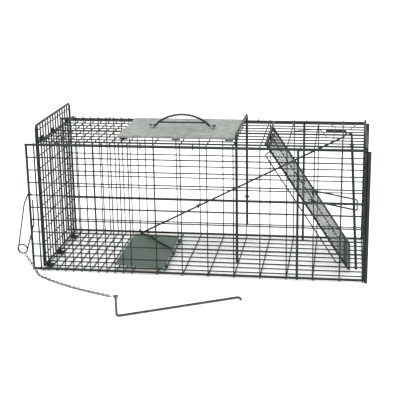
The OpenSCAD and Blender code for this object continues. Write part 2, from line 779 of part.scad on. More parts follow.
// The chain as one tube swept along its route
module chain() {
    sides = 8;
    steps = 4;
    route = chain_route;
    last = len(route) - 1;
    function at(t) = let(
        i = min(floor(t), last - 1),
        f = t - i,
        p0 = route[max(i - 1, 0)],
        p1 = route[i],
        p2 = route[i + 1],
        p3 = route[min(i + 2, last)]
    ) 0.5 * (2 * p1 + (p2 - p0) * f + (2 * p0 - 5 * p1 + 4 * p2 - p3) * f * f
        + (3 * p1 - p0 - 3 * p2 + p3) * f * f * f);
    n = last * steps;
    line = [for (k = [0:n]) at(k / steps)];
    function way(k) = let(v = line[min(k + 1, n)] - line[max(k - 1, 0)]) v / norm(v);
    function ring(k) = let(
        w = way(k),
        a = cross([0, 0, 1], w),
        u = a / norm(a),
        v = cross(w, u)
    ) [for (j = [0:sides - 1]) line[k] + chain_d / 2 * (cos(j * 360 / sides) * u + sin(j * 360 / sides) * v)];
    points = [for (k = [0:n], p = ring(k)) p];
    walls = [for (k = [0:n - 1], j = [0:sides - 1]) let(m = (j + 1) % sides)
        [k * sides + j, (k + 1) * sides + j, (k + 1) * sides + m, k * sides + m]];
    ends = [[for (j = [0:sides - 1]) j], [for (j = [sides - 1:-1:0]) n * sides + j]];
    color(zinc) polyhedron(points = points, faces = concat(walls, ends));
}

near_side_panel();
far_side_panel();
top_panel();
floor_panel();
near_front_post();
far_front_post();
side_uprights();
near_rings();
far_rings();
rear_door_guides();
rear_floor_clips();
rear_top_clips();
guard_plate();
guard_tabs();
handle_lugs();
carry_handle();
rear_door_rim();
rear_door_mesh();
stop_hoop();
hoop_eyes();
door_hinge_rod();
door_hinge_loops();
door_rim();
door_sheet();
door_side_wires();
door_foot_bar();
bail_lugs();
lock_bail();
lock_rod();
lock_rod_pivot();
treadle_plate();
treadle_pivot_rod();
treadle_loops();
treadle_arm();
trigger_rod();
trigger_guide();
catch_wires();
safety_clip();
lock_pin();
chain();
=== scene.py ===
# %% [markdown]
# A live catch trap in Blender
#
# The trap is a welded-mesh cage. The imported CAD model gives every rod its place, and
# the cells below add what makes each piece look real: bent wire, pierced sheet,
# hammered paint, dull zinc and a chain of twisted links.

# %% Load the frame
import json
import math
import random

import bpy
from mathutils import Matrix, Vector


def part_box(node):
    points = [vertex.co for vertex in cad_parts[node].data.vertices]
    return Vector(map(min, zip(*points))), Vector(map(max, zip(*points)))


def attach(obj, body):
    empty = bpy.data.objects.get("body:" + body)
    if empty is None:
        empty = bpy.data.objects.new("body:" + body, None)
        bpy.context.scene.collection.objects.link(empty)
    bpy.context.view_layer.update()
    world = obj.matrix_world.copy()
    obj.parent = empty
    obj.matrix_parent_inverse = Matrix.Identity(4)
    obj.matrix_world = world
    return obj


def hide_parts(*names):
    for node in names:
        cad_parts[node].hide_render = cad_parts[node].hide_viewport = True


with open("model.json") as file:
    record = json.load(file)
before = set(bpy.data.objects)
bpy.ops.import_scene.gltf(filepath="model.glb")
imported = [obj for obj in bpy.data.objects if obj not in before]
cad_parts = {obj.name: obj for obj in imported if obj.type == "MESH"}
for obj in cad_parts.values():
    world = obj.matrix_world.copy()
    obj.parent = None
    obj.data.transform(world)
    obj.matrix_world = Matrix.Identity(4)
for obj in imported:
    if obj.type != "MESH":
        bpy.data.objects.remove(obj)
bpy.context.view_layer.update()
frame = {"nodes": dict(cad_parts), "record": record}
MM = 0.001
PER_METRE = 1000
random.seed(7)

# %% [markdown]
# Camera
#
# A long lens from the side and a little above. The three rows are the camera's right,
# down and forward directions, worked out from the cage's own straight rails, and a
# Blender camera looks along its -Z with +Y up.

# %% Place the camera
RIGHT = Vector((0.988657, 0.149275, -0.016584))
DOWN = Vector((0.026501, -0.282063, -0.95903))
FORWARD = Vector((-0.147837, 0.947712, -0.282819))
EYE = Vector((0.300755, -1.8856, 0.68186))
FOCAL = 971.0 / 400

bpy.ops.object.camera_add(location=EYE)
camera = bpy.context.object
camera.name = "camera"
turn = Matrix((RIGHT, -DOWN, -FORWARD)).transposed()
camera.rotation_euler = turn.to_euler()
camera.data.sensor_width = 36
camera.data.lens = 36 * FOCAL
camera.data.clip_end = 30
bpy.context.scene.camera = camera
print("camera lens:", round(camera.data.lens, 1), "mm")

# %% [markdown]
# Small helpers
#
# Operators act on whatever is selected, so each helper clears the selection first.
# Lengths are written in millimetres, and MM turns them to metres as a mesh is made.


# %% Selection, joining and finishing
def clear():
    if bpy.context.object and bpy.context.object.mode != "OBJECT":
        bpy.ops.object.mode_set(mode="OBJECT")
    bpy.ops.object.select_all(action="DESELECT")


def pick(*objects):
    clear()
    for ob in objects:
        ob.select_set(True)
    bpy.context.view_layer.objects.active = objects[0]


def join(parts, name):
    pick(*parts)
    if len(parts) > 1:
        bpy.ops.object.join()
    ob = bpy.context.object
    ob.name = name
    ob.data.name = name
    return ob


def settle(ob):
    """Puts the object's place into its mesh, so that the object sits at the origin."""
    pick(ob)
    bpy.ops.object.transform_apply(location=True, rotation=True, scale=True)
    return ob


def copies(ob, places):
    """One copy of ob at each matrix in places, each with its own mesh."""
    made = []
    for place in places:
        twin = ob.copy()
        twin.data = ob.data.copy()
        bpy.context.collection.objects.link(twin)
        twin.matrix_world = place @ ob.matrix_world
        made.append(twin)
    bpy.data.objects.remove(ob)
    bpy.context.view_layer.update()
    return made


def modify(ob, kind, **settings):
    """Adds a modifier with these settings and applies it."""
    pick(ob)
    extra = ob.modifiers.new(kind.title(), kind)
    for key, value in settings.items():
        setattr(extra, key, value)
    bpy.ops.object.modifier_apply(modifier=extra.name)
    return ob


def outwards(ob):
    """Merges doubled points, then turns every face to point out."""
    pick(ob)
    bpy.ops.object.mode_set(mode="EDIT")
    bpy.ops.mesh.select_all(action="SELECT")
    bpy.ops.mesh.remove_doubles(threshold=0.00001)
    bpy.ops.mesh.normals_make_consistent(inside=False)
    bpy.ops.object.mode_set(mode="OBJECT")
    return ob


def finished(ob, body, finish, replaced, smooth):
    """The last steps that every piece shares. smooth is an angle in degrees."""
    settle(ob)
    bpy.ops.object.shade_smooth_by_angle(angle=math.radians(smooth))
    ob.data.materials.clear()
    ob.data.materials.append(finish)
    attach(ob, body)
    if replaced:
        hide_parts(*replaced)
    print(f"{ob.name}: {len(ob.data.polygons)} faces, rides on {body}")


print("piece helpers ready")


# %% [markdown]
# Bent wire
#
# Most of this trap is wire bent in a jig: straight runs joined by arcs. A curve is the
# natural way to draw it. The corners are given, each is rounded to the jig's radius,
# and the curve is given the wire's thickness and turned into a mesh.


# %% Round the corners and draw a wire
SPARE_RUN = 0.48
STRAIGHT = math.radians(88)


def rounded(corners, bend, steps=5):
    """The line through the corners, with each corner turned into an arc."""
    corners = [Vector(c) for c in corners]
    line = [corners[0]]
    for a, b, c in zip(corners, corners[1:], corners[2:]):
        u = (a - b).normalized()
        v = (c - b).normalized()
        half = u.angle(v) / 2
        if half > STRAIGHT:
            line.append(b)
            continue
        reach = min(bend / math.tan(half),
                    (a - b).length * SPARE_RUN, (c - b).length * SPARE_RUN)
        centre = b + (u + v).normalized() * reach / math.cos(half)
        first = b + u * reach - centre
        last = b + v * reach - centre
        sweep = first.angle(last)
        for i in range(steps + 1):
            k = i / steps
            arm = first * math.sin((1 - k) * sweep) + last * math.sin(k * sweep)
            line.append(centre + arm / math.sin(sweep))
    line.append(corners[-1])
    return line


def tube(points, d, name="wire", sides=12):
    """A round wire of diameter d along the points, as a mesh."""
    clear()
    bpy.ops.curve.primitive_bezier_curve_add()
    ob = bpy.context.object
    ob.name = name
    curve = ob.data
    curve.splines.clear()
    run = curve.splines.new("POLY")
    run.points.add(len(points) - 1)
    for knot, point in zip(run.points, points):
        knot.co = (*(Vector(point) * MM), 1)
    curve.dimensions = "3D"
    curve.bevel_depth = d / 2 * MM
    curve.bevel_resolution = sides // 2 - 2
    curve.use_fill_caps = True
    bpy.ops.object.convert(target="MESH")
    return bpy.context.object


def wire(corners, d, bend=6, name="wire", sides=12):
    return tube(rounded(corners, bend), d, name, sides)


def loop(centre, r, along, turns=1.0, start=0.0, pitch=0.0, steps=28):
    """Points round a circle about an axis, which climb by pitch a turn."""
    axis = Vector(along).normalized()
    side = axis.orthogonal().normalized()
    if abs(axis.y) > 0.9:
        side = Vector((1, 0, 0))
    up = axis.cross(side)
    line = []
    count = max(6, int(steps * turns))
    for i in range(count + 1):
        a = start + 2 * math.pi * turns * i / count
        rise = pitch * turns * i / count
        arm = (side * math.cos(a) + up * math.sin(a)) * r
        line.append(Vector(centre) + arm + axis * rise)
    return line


print("wire helpers ready")

# %% [markdown]
# Places
#
# These are the CAD model's own measures, in millimetres. Most are read from its boxes
# and joints. The mesh has rows an inch apart, and wide cells two inches long, with
# narrow cells a third of that at the rear.


# %% Read the places
def lo(node):
    return Vector(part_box(node)[0]) / MM


def hi(node):
    return Vector(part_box(node)[1]) / MM


def joint_place(name):
    for joint in frame["record"]["behaviour"]["joints"]:
        if joint["name"] == name:
            return Vector(joint["pos_m"]) / MM


HINGE = joint_place("trap_door_hinge")
BAIL = joint_place("lock_bail_hinge")
HANDLE = joint_place("handle_hinge")
TREADLE = joint_place("treadle_hinge")
ROD = joint_place("lock_rod_hinge")
RAIL_R = 2.4
REAR_X = lo("near_side_panel").x + RAIL_R
FRONT_X = hi("near_side_panel").x - RAIL_R
SIDE_Y = hi("far_side_panel").y - RAIL_R
FLOOR_TOP = 4.83
RAIL_Z = 4.63
CAGE_H = 254
TOP_Z = RAIL_Z + CAGE_H
ROW = 25.4
WIDE_CELL = 50.8
WIDE_CELLS = 8
NARROW_CELLS = 11
FRONT_GAP = 44.8
WIDE_X0 = FRONT_X - FRONT_GAP - WIDE_CELLS * WIDE_CELL
print("hinge", HINGE, "handle", HANDLE, "treadle", TREADLE)
print("rear", REAR_X, "front", FRONT_X, "side", SIDE_Y)

# %% [markdown]
# The chain's route
#
# The chain hangs from the coil of the safety clip, drops to the ground in a short sag
# and runs on to the lock pin's eye. It is 250 mm long. Its line over the ground is
# known, and how high it hangs just under the clip is a guess.

# %% Smooth the chain's line
CHAIN_D = 5.4
CHAIN_ROUTE = [
    (-328.5, -123.5, 30.5), (-323, -127, 25), (-315.5, -132, 18), (-308.5, -138, 11.5),
    (-302, -145, 6.2), (-296, -153, 3.4), (-287, -163, 2.8), (-275, -172, 2.8),
    (-262, -181, 2.8), (-249, -190, 2.8), (-236, -198, 2.8), (-222, -206, 2.8),
    (-208, -214, 2.8), (-193, -221, 2.8), (-178, -228, 2.8), (-163, -235, 2.8),
    (-148, -241, 2.8), (-136, -246, 2.8), (-126, -250, 2.8),
]


def through(route, steps):
    """A smooth line through the route's points."""
    line = []
    last = len(route) - 1
    for i in range(last):
        p0, p1 = Vector(route[max(i - 1, 0)]), Vector(route[i])
        p2, p3 = Vector(route[i + 1]), Vector(route[min(i + 2, last)])
        for k in range(steps):
            f = k / steps
            line.append(0.5 * (2 * p1 + (p2 - p0) * f
                               + (2 * p0 - 5 * p1 + 4 * p2 - p3) * f * f
                               + (3 * p1 - p0 - 3 * p2 + p3) * f ** 3))
    line.append(Vector(route[last]))
    return line


CURVE_STEPS = 4
chain_line = through(CHAIN_ROUTE, CURVE_STEPS)
chain_length = sum((b - a).length for a, b in zip(chain_line, chain_line[1:]))
print("chain length:", round(chain_length, 1), "mm")

# %% [markdown]
# Twisted chain links
#
# The real chain is made of small wire links, each twisted by nearly a quarter turn so
# that it lies flat. One link is a torus that is stretched in edit mode and twisted with
# a Simple Deform modifier. Then it is copied along the line, each copy a quarter turn on.


# %% Model one link and copy it along the line
LINK_WIRE = 1.8
LINK_PITCH = 5.8
LINK_TWIST = math.radians(70)


def make_link():
    clear()
    bpy.ops.mesh.primitive_torus_add(
        major_radius=(CHAIN_D - LINK_WIRE) / 2 * MM, minor_radius=LINK_WIRE / 2 * MM,
        major_segments=16, minor_segments=8)
    ob = bpy.context.object
    bpy.ops.object.mode_set(mode="EDIT")
    bpy.ops.mesh.select_all(action="DESELECT")
    bpy.ops.object.mode_set(mode="OBJECT")
    for vert in ob.data.vertices:
        vert.select = vert.co.x > 0.00001
    bpy.ops.object.mode_set(mode="EDIT")
    stretch = (LINK_PITCH + 2 * LINK_WIRE - CHAIN_D) * MM
    bpy.ops.transform.translate(value=(stretch, 0, 0))
    bpy.ops.mesh.select_all(action="SELECT")
    bpy.ops.transform.translate(value=(-stretch / 2, 0, 0))
    bpy.ops.object.mode_set(mode="OBJECT")
    return modify(ob, "SIMPLE_DEFORM", deform_method="TWIST", angle=LINK_TWIST,
                  deform_axis="X")


def along(line, distance):
    """The point and the direction at a distance along a line."""
    for a, b in zip(line, line[1:]):
        step = (b - a).length
        if distance <= step:
            return a + (b - a) * (distance / step), (b - a).normalized()
        distance -= step
    return line[-1], (line[-1] - line[-2]).normalized()


link_places = []
link_count = int(chain_length / LINK_PITCH)
for i in range(link_count + 1):
    point, way = along(chain_line, (i + 0.1) * chain_length / (link_count + 0.4))
    across = Vector((0, 0, 1)).cross(way).normalized()
    lift = way.cross(across)
    roll = Matrix.Rotation(math.radians(45 + 90 * (i % 2)), 4, "X")
    facing = Matrix((way, across, lift)).transposed().to_4x4()
    link_places.append(Matrix.Translation(point * MM) @ facing @ roll)
chain = join(copies(make_link(), link_places), "chain_links")
print("links:", len(link_places))

# %% [markdown]
# Materials
#
# One small function adds a node with its settings and links. Colours are sRGB hex
# values, turned to linear by one function.


# %% Node and colour helpers
def linear(code):
    parts = [int(code[i:i + 2], 16) / 255 for i in (1, 3, 5)]
    return (*[c / 12.92 if c <= 0.04045 else ((c + 0.055) / 1.055) ** 2.4 for c in parts], 1)


def add(tree, kind, settings=None, **links):
    """Adds a node. settings are its properties, and links its inputs.

    An input is given by name, or as i and its number, and takes a value or a socket.
    """
    node = tree.nodes.new("ShaderNode" + kind)
    for key, value in (settings or {}).items():
        setattr(node, key, value)
    for key, value in links.items():
        numbered = key[0] == "i" and key[1:].isdigit()
        socket = node.inputs[int(key[1:]) if numbered else key.replace("_", " ")]
        if isinstance(value, bpy.types.NodeSocket):
            tree.links.new(value, socket)
        else:
            socket.default_value = value
    return node


def start(name):
    """A new finish, with its node tree, its shader and its Object coordinates."""
    finish = bpy.data.materials.new(name)
    finish.use_nodes = True
    tree = finish.node_tree
    shader = tree.nodes["Principled BSDF"]
    place = add(tree, "TexCoord").outputs["Object"]
    return finish, tree, shader, place


def ramp(tree, factor, stops):
    """Colours or plain values spread over a factor."""
    node = add(tree, "ValToRGB", Fac=factor)
    band = node.color_ramp
    while len(band.elements) < len(stops):
        band.elements.new(0.5)
    for element, (position, colour) in zip(band.elements, stops):
        element.position = position
        if isinstance(colour, str):
            element.color = linear(colour)
        else:
            element.color = (colour, colour, colour, 1)
    return node.outputs["Color"]


def noise(tree, place, size_mm, detail=3.0, rough=0.5):
    """Noise with features of about this size in millimetres."""
    node = add(tree, "TexNoise", Vector=place, Scale=PER_METRE / size_mm, Detail=detail,
               Roughness=rough)
    return node.outputs["Fac"]


def bump(tree, shader, height, depth_mm, strength):
    node = add(tree, "Bump", Height=height, Distance=depth_mm * MM, Strength=strength)
    tree.links.new(node.outputs["Normal"], shader.inputs["Normal"])


print("material helpers ready")

# %% [markdown]
# Dipped green enamel
#
# The welded mesh is dipped in a dark green enamel. It gathers at the crossings, so
# the coat is a little uneven, and tiny pinholes show the grey primer. Enamel is glossy
# but the dust on it softens the light. The pinholes are drawn coarser than real ones.


# %% Painted wire, in its four greens
CLOUD_MM = 38
GRAIN_MM = 1.4
PINHOLE_MM = 0.9
COAT_MM = 0.05


def enamel(name, dark, mid, light, rough, gloss):
    finish, tree, shader, place = start(name)
    cloud = noise(tree, place, CLOUD_MM, 4)
    fine = noise(tree, place, GRAIN_MM, 2)
    mix = add(tree, "Math", {"operation": "MULTIPLY_ADD"}, i0=fine, i1=0.35,
              i2=cloud).outputs[0]
    colour = ramp(tree, mix, [(0.42, dark), (0.66, mid), (0.9, light)])
    specks = noise(tree, place, PINHOLE_MM, 1)
    chipped = ramp(tree, specks, [(0.76, 0.0), (0.8, 1.0)])
    worn = add(tree, "Mix", {"data_type": "RGBA"}, i0=chipped, i6=colour,
               i7=linear("#7f8a83"))
    tree.links.new(worn.outputs[2], shader.inputs["Base Color"])
    dull = ramp(tree, cloud, [(0.3, rough - 0.06), (0.7, rough + 0.1)])
    tree.links.new(dull, shader.inputs["Roughness"])
    shader.inputs["IOR"].default_value = 1.36
    shader.inputs["Coat Weight"].default_value = gloss
    shader.inputs["Coat Roughness"].default_value = 0.18
    bump(tree, shader, fine, COAT_MM, 0.5)
    return finish


mesh_enamel = enamel("dipped_green_enamel", "#07110b", "#0c1a12", "#1b2c22", 0.5, 0.06)
rod_enamel = enamel("brushed_green_enamel", "#07110b", "#0c1912", "#192a20", 0.46, 0.1)
wire_enamel = enamel("thin_wire_green_enamel", "#101a15", "#19251f", "#2e3d34", 0.46, 0.12)
tab_enamel = enamel("dark_tab_enamel", "#0e1712", "#16211b", "#28362e", 0.68, 0.0)
print("enamels ready")

# %% [markdown]
# Galvanised sheet
#
# The guard plate under the handle is hot-dip galvanised steel. The zinc freezes into
# flat crystals, the spangle, each with its own brightness. Dull weathered zinc
# scatters light widely, so it looks almost white from above.


# %% Zinc on sheet
def galvanised(name, dark, light, spangle_mm, rough):
    finish, tree, shader, place = start(name)
    warp = noise(tree, place, 16, 2)
    crystals = add(tree, "TexVoronoi", Vector=place, Scale=PER_METRE / spangle_mm,
                   Randomness=1.0)
    tone = add(tree, "Math", {"operation": "MULTIPLY_ADD"}, i0=crystals.outputs["Color"],
               i1=0.45, i2=warp).outputs[0]
    colour = ramp(tree, tone, [(0.35, dark), (0.95, light)])
    tree.links.new(colour, shader.inputs["Base Color"])
    dull = ramp(tree, tone, [(0.3, rough - 0.08), (0.9, rough + 0.1)])
    tree.links.new(dull, shader.inputs["Roughness"])
    shader.inputs["Metallic"].default_value = 0.75
    scratches = noise(tree, place, 2.2, 4, 0.6)
    bump(tree, shader, scratches, 0.03, 0.4)
    return finish


plate_zinc = galvanised("hot_dip_galvanised_sheet", "#7b807b", "#9da19c", 9, 0.5)
lug_zinc = galvanised("dull_galvanised_lug", "#747974", "#9a9e99", 6, 0.5)
print("galvanised finishes:", plate_zinc.name, lug_zinc.name)

# %% [markdown]
# Bright zinc plate and spring wire
#
# The chain is zinc plated, brighter and smoother than dipped zinc. The clip, the bail,
# the handle and the pin are hard drawn wire with a thin grey-green coat, rubbed
# through to the steel in places.


# %% Plated chain and drawn wire
def plated(name, dark, light, metal, rough):
    finish, tree, shader, place = start(name)
    cloud = noise(tree, place, 5, 3)
    fine = noise(tree, place, 0.7, 2)
    colour = ramp(tree, cloud, [(0.35, dark), (0.7, light)])
    tree.links.new(colour, shader.inputs["Base Color"])
    dull = ramp(tree, cloud, [(0.3, rough - 0.08), (0.75, rough + 0.12)])
    tree.links.new(dull, shader.inputs["Roughness"])
    shader.inputs["Metallic"].default_value = metal
    bump(tree, shader, fine, 0.02, 0.4)
    return finish


chain_zinc = plated("bright_zinc_plate", "#454b49", "#7f8583", 0.9, 0.4)
spring_wire = plated("hard_drawn_spring_wire", "#262e2b", "#4a534f", 0.7, 0.42)
pin_wire = plated("drawn_pin_wire", "#2a342f", "#48544d", 0.6, 0.44)
handle_wire = plated("rubbed_handle_wire", "#222b26", "#434d47", 0.6, 0.38)
print("plated and drawn finishes ready")

# %% [markdown]
# Hammered green enamel
#
# The treadle is sheet with hammer-finish enamel. While wet, the paint pulls into small
# round puddles about 3 mm across, so the light breaks up over it.


# %% Hammered sheet
def hammered(name, dark, mid, light, puddle_mm, depth_mm, rough=0.36):
    finish, tree, shader, place = start(name)
    cloud = noise(tree, place, 45, 4)
    cells = add(tree, "TexVoronoi", {"feature": "SMOOTH_F1"}, Vector=place,
                Scale=PER_METRE / puddle_mm, Smoothness=0.5)
    puddle = cells.outputs["Distance"]
    tone = add(tree, "Math", {"operation": "MULTIPLY_ADD"}, i0=puddle, i1=0.4,
               i2=cloud).outputs[0]
    colour = ramp(tree, tone, [(0.4, dark), (0.65, mid), (0.95, light)])
    tree.links.new(colour, shader.inputs["Base Color"])
    dull = ramp(tree, cloud, [(0.3, rough - 0.05), (0.7, rough + 0.12)])
    tree.links.new(dull, shader.inputs["Roughness"])
    shader.inputs["Metallic"].default_value = 0.15
    shader.inputs["Coat Weight"].default_value = 0.15
    shader.inputs["Coat Roughness"].default_value = 0.2
    bump(tree, shader, puddle, depth_mm, 0.7)
    return finish


treadle_green = hammered("hammered_green_enamel", "#1c3426", "#294634", "#40604e", 3.2, 0.25)
door_green = hammered("painted_pierced_sheet", "#1f2d25", "#2d3e34", "#4c5e53", 2.4, 0.08, 0.5)
print("materials:", len(bpy.data.materials))

# %% [markdown]
# The chain's links
#
# The links ride on the cage, where the clip's coil holds their end.

# %% Finish the chain
finished(chain, "cage", chain_zinc, ["chain"], smooth=60)

# %% [markdown]
# The trap door's pierced sheet
#
# The sheet is pierced and stretched into small diamonds. A grid turned by 45 degrees
# and squeezed gives the diamonds, bisect trims it to the door's outline, and the
# Wireframe modifier turns its edges into strands.

# %% Build the diamond sheet in the door's own plane
DOOR_FOOT = Vector((FRONT_X - 26, 0, FLOOR_TOP + 2.8))
SLOPE = math.atan2(HINGE.z - DOOR_FOOT.z, DOOR_FOOT.x - HINGE.x)
DOOR_LONG = math.hypot(HINGE.z - DOOR_FOOT.z, DOOR_FOOT.x - HINGE.x)
on_door = Matrix.Translation(HINGE * MM) @ Matrix.Rotation(SLOPE, 4, "Y")
DOOR_HALF = 79.0
SHEET_HALF = DOOR_HALF - 2.23
SHEET_TOP = 5.95
SHEET_END = DOOR_LONG - 8.2
SHEET_T = 1.2
DIAMOND_L = 7.6
DIAMOND_W = 13.0


def diamond_sheet(x0, x1, y0, y1):
    """A grid of diamonds over a rectangle in the XY plane, in millimetres."""
    clear()
    count = math.ceil((x1 - x0) / DIAMOND_L + (y1 - y0) / DIAMOND_W + 2)
    bpy.ops.mesh.primitive_grid_add(x_subdivisions=count, y_subdivisions=count,
                                    size=count / math.sqrt(2))
    ob = bpy.context.object
    bpy.ops.object.mode_set(mode="EDIT")
    bpy.ops.mesh.select_all(action="SELECT")
    bpy.ops.transform.rotate(value=math.radians(45), orient_axis="Z",
                             center_override=(0, 0, 0))
    bpy.ops.transform.resize(value=(DIAMOND_L * MM, DIAMOND_W * MM, 1),
                             center_override=(0, 0, 0))
    bpy.ops.transform.translate(value=((x0 + x1) / 2 * MM, (y0 + y1) / 2 * MM, 0))
    cuts = (((x0, 0, 0), (-1, 0, 0)), ((x1, 0, 0), (1, 0, 0)),
            ((0, y0, 0), (0, -1, 0)), ((0, y1, 0), (0, 1, 0)))
    for spot, way in cuts:
        bpy.ops.mesh.select_all(action="SELECT")
        bpy.ops.mesh.bisect(plane_co=Vector(spot) * MM, plane_no=way, clear_outer=True,
                            threshold=0.00001)
    bpy.ops.object.mode_set(mode="OBJECT")
    return ob


sheet = diamond_sheet(SHEET_TOP, SHEET_END, -SHEET_HALF, SHEET_HALF)
print("diamonds:", len(sheet.data.polygons))
modify(sheet, "WIREFRAME", thickness=SHEET_T * MM, use_even_offset=False,
       use_boundary=True, use_replace=True)
print("strand faces:", len(sheet.data.polygons))

# %% [markdown]
# The sheet's border
#
# The sheet keeps a plain border where it is welded into the rim. Each side is a strip
# with softened edges: a cube stretched to size and bevelled.


# %% Sheet strips with softened edges
BORDER_W = 2.6
BORDER_L = 5


def strip(x0, x1, y0, y1, z0, z1, soften, segments=2):
    """A plate between two corners, with its edges broken as real sheet's are."""
    clear()
    bpy.ops.mesh.primitive_cube_add(size=1)
    ob = bpy.context.object
    bpy.ops.object.mode_set(mode="EDIT")
    bpy.ops.mesh.select_all(action="SELECT")
    bpy.ops.transform.resize(value=((x1 - x0) * MM, (y1 - y0) * MM, (z1 - z0) * MM),
                             center_override=(0, 0, 0))
    bpy.ops.transform.translate(value=((x0 + x1) / 2 * MM, (y0 + y1) / 2 * MM,
                                       (z0 + z1) / 2 * MM))
    bpy.ops.mesh.bevel(offset=soften * MM, segments=segments)
    bpy.ops.object.mode_set(mode="OBJECT")
    return ob


parts = [sheet]
for y in (-SHEET_HALF, SHEET_HALF - BORDER_W):
    y1 = BORDER_W - SHEET_HALF if y < 0 else SHEET_HALF
    parts.append(strip(SHEET_TOP, SHEET_END, y, y1, -SHEET_T / 2, SHEET_T / 2, 0.3))
for x in (SHEET_TOP, SHEET_END - BORDER_L):
    parts.append(strip(x, x + BORDER_L, -SHEET_HALF, SHEET_HALF, -SHEET_T / 2, SHEET_T / 2,
                       0.3))
door_sheet = join(parts, "pierced_door_sheet")
door_sheet.matrix_world = on_door @ door_sheet.matrix_world
finished(door_sheet, "trap_door", door_green, ["door_sheet"], smooth=35)

# %% [markdown]
# The trap door's rods
#
# The rim is one rod, bent at its corners, with its ends meeting along the top, where it
# turns in wire loops under the hinge rod. A wire stands off each side's inner face, and
# a flat bar stiffens the foot.

# %% Rim rod, side wires and foot bar
RIM_D = 4.4
half = DOOR_HALF
rim_line = rounded([(0, 4, 0), (0, -half, 0), (DOOR_LONG, -half, 0), (DOOR_LONG, half, 0),
                    (0, half, 0), (0, -3.6, 0)], 7)
rim = tube(rim_line, RIM_D, "door_rim_rod", 16)
rim.matrix_world = on_door @ rim.matrix_world
finished(rim, "trap_door", rod_enamel, ["door_rim"], smooth=50)

parts = []
for y in (-half, half):
    side_wire = [(14, y, -2), (14, y, -13), (DOOR_LONG - 24, y, -13), (DOOR_LONG - 24, y, -2)]
    parts.append(wire(side_wire, 2.6, 4))
side_wires = join(parts, "door_stand_off_wires")
side_wires.matrix_world = on_door @ side_wires.matrix_world
finished(side_wires, "trap_door", wire_enamel, ["door_side_wires"], smooth=50)

bar = strip(SHEET_END - 14, SHEET_END - 1, 3.2 - half, half - 3.2, 0.63, 3.03, 0.5, 3)
bar.name = "door_foot_strip"
bar.matrix_world = on_door @ bar.matrix_world
finished(bar, "trap_door", tab_enamel, ["door_foot_bar"], smooth=40)

# %% [markdown]
# Hinge loops and straps
#
# Each hinge loop is wire wound nearly one and a half times round the door's top rod, so
# it is drawn as a helix. Each strap is a thin round wire over the bail's foot, widened
# in edit mode until it is a band.

# %% Hinge loops and the bail's straps
parts = []
for lane in (-2.5, -0.5, 0.5, 2.5):
    y = lane * ROW
    coil = loop((HINGE.x, y - 1.3, HINGE.z), 3.95, (0, 1, 0), turns=1.4, start=-1.2,
                pitch=2.0)
    parts.append(tube(coil, 2.7))
loops = join(parts, "door_hinge_wraps")
finished(loops, "cage", wire_enamel, ["door_hinge_loops"], smooth=60)

BAIL_HALF = 37.0
BAIL_D = 3.4
BAIL_DOWN = 149.0
BAIL_OFF = 6.3
STRAP_T = 1.0
parts = []
for side in (-1, 1):
    y = side * (BAIL_HALF - 5.5)
    ear = [(BAIL_DOWN - 7, y, 0.9), (BAIL_DOWN - 2.8, y, 1.0), (BAIL_DOWN - 2.7, y, BAIL_OFF)]
    over = loop((BAIL_DOWN, y, BAIL_OFF), 2.65, (0, -1, 0), turns=0.5, start=math.pi)
    down = [(BAIL_DOWN + 2.7, y, BAIL_OFF), (BAIL_DOWN + 2.8, y, 1.0), (BAIL_DOWN + 7, y, 0.9)]
    strap = tube(rounded(ear, 1.2) + over[1:-1] + rounded(down, 1.2), STRAP_T, sides=8)
    pick(strap)
    bpy.ops.object.mode_set(mode="EDIT")
    bpy.ops.mesh.select_all(action="SELECT")
    bpy.ops.transform.resize(value=(1, 4.6, 1), center_override=(0, y * MM, 0))
    bpy.ops.object.mode_set(mode="OBJECT")
    parts.append(strap)
lugs = join(parts, "bail_straps")
lugs.matrix_world = on_door @ lugs.matrix_world
finished(lugs, "trap_door", tab_enamel, ["bail_lugs"], smooth=50)

# %% [markdown]
# The lock bail
#
# A U of spring wire with its two feet turned in to sit in the straps. On the real trap
# it props the fallen door shut. A wire along six corners is all that it needs.

# %% Bail
BAIL_TILT = math.radians(10.8)
BAIL_LONG = 90
BAIL_FOOT = 9
on_bail = Matrix.Translation(BAIL * MM) @ Matrix.Rotation(BAIL_TILT, 4, "Y")
half = BAIL_HALF
bail_line = [(0, -half + BAIL_FOOT, 0), (0, -half, 0), (BAIL_LONG, -half, 0),
             (BAIL_LONG, half, 0), (0, half, 0), (0, half - BAIL_FOOT, 0)]
bail = wire(bail_line, BAIL_D, 6, "lock_bail_wire", 14)
bail.matrix_world = on_bail @ bail.matrix_world
finished(bail, "lock_bail", spring_wire, ["lock_bail"], smooth=50)

# %% [markdown]
# Guard plate
#
# The plate keeps a bite away from the hand. It is one sheet with its long edges folded
# down, a shallow pressed step inside its border, and folded tabs that hook the wires.

# %% Plate with folded edges and a pressed panel
g0, g1 = lo("guard_plate"), hi("guard_plate")


def pressed_plate(x0, x1, y0, y1, z, thick, step, border):
    """A sheet with its middle pressed by step, inside a flat border."""
    clear()
    bpy.ops.mesh.primitive_plane_add(size=1)
    ob = bpy.context.object
    bpy.ops.object.mode_set(mode="EDIT")
    bpy.ops.mesh.select_all(action="SELECT")
    bpy.ops.transform.resize(value=((x1 - x0) * MM, (y1 - y0) * MM, 1), center_override=(0, 0, 0))
    bpy.ops.transform.translate(value=((x0 + x1) / 2 * MM, (y0 + y1) / 2 * MM, z * MM))
    bpy.ops.mesh.inset(thickness=border * MM, depth=0)
    bpy.ops.mesh.inset(thickness=2.4 * MM, depth=step * MM)
    bpy.ops.mesh.inset(thickness=8 * MM, depth=0)
    bpy.ops.object.mode_set(mode="OBJECT")
    modify(ob, "SOLIDIFY", thickness=thick * MM, offset=-1)
    return modify(ob, "BEVEL", width=0.3 * MM, segments=2, limit_method="ANGLE",
                  angle_limit=math.radians(25))


